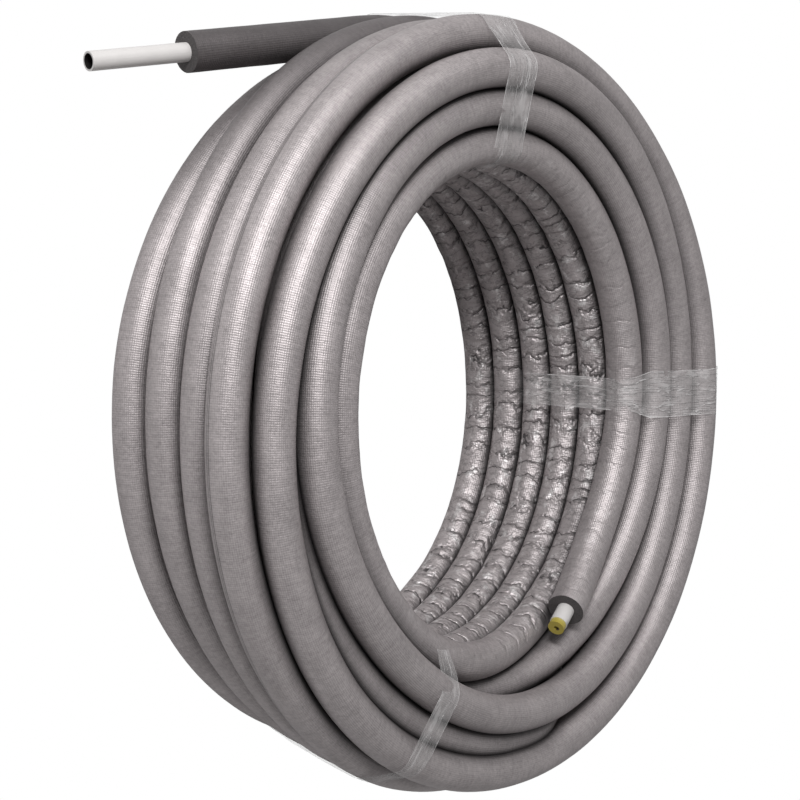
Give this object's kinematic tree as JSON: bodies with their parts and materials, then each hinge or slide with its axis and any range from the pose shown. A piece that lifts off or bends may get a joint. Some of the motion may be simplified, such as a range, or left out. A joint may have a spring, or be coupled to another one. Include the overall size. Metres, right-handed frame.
{
  "type": "coil of insulated multilayer pipe",
  "caption": "Strapped coil of multilayer pipe in a grey foam sleeve, with a bare pipe end to join and a plugged inner end.",
  "frame": {"origin": "on the coil's axis, midway between the highest and the lowest turn of the innermost layer", "axes": "+Z along the coil's axis and up, with the coil lying on its rear end and its front end, which shows the plugged inner end of the pipe, facing up; +Y towards the side where the bare outer end leaves, +X to the right of that as seen from above"},
  "size_m": [0.6761, 0.6772, 0.233],
  "materials": {
    "sleeve": "satin",
    "pipe": "satin",
    "plug": "gloss",
    "tape": "gloss"
  },
  "bodies": {
    "root": {"insulation": "sleeve", "pipe_outer_end": "pipe", "pipe_inner_end": "pipe", "end_plug": "plug", "tape_top": "tape", "tape_side": "tape", "tape_low": "tape"}
  },
  "joints": []
}
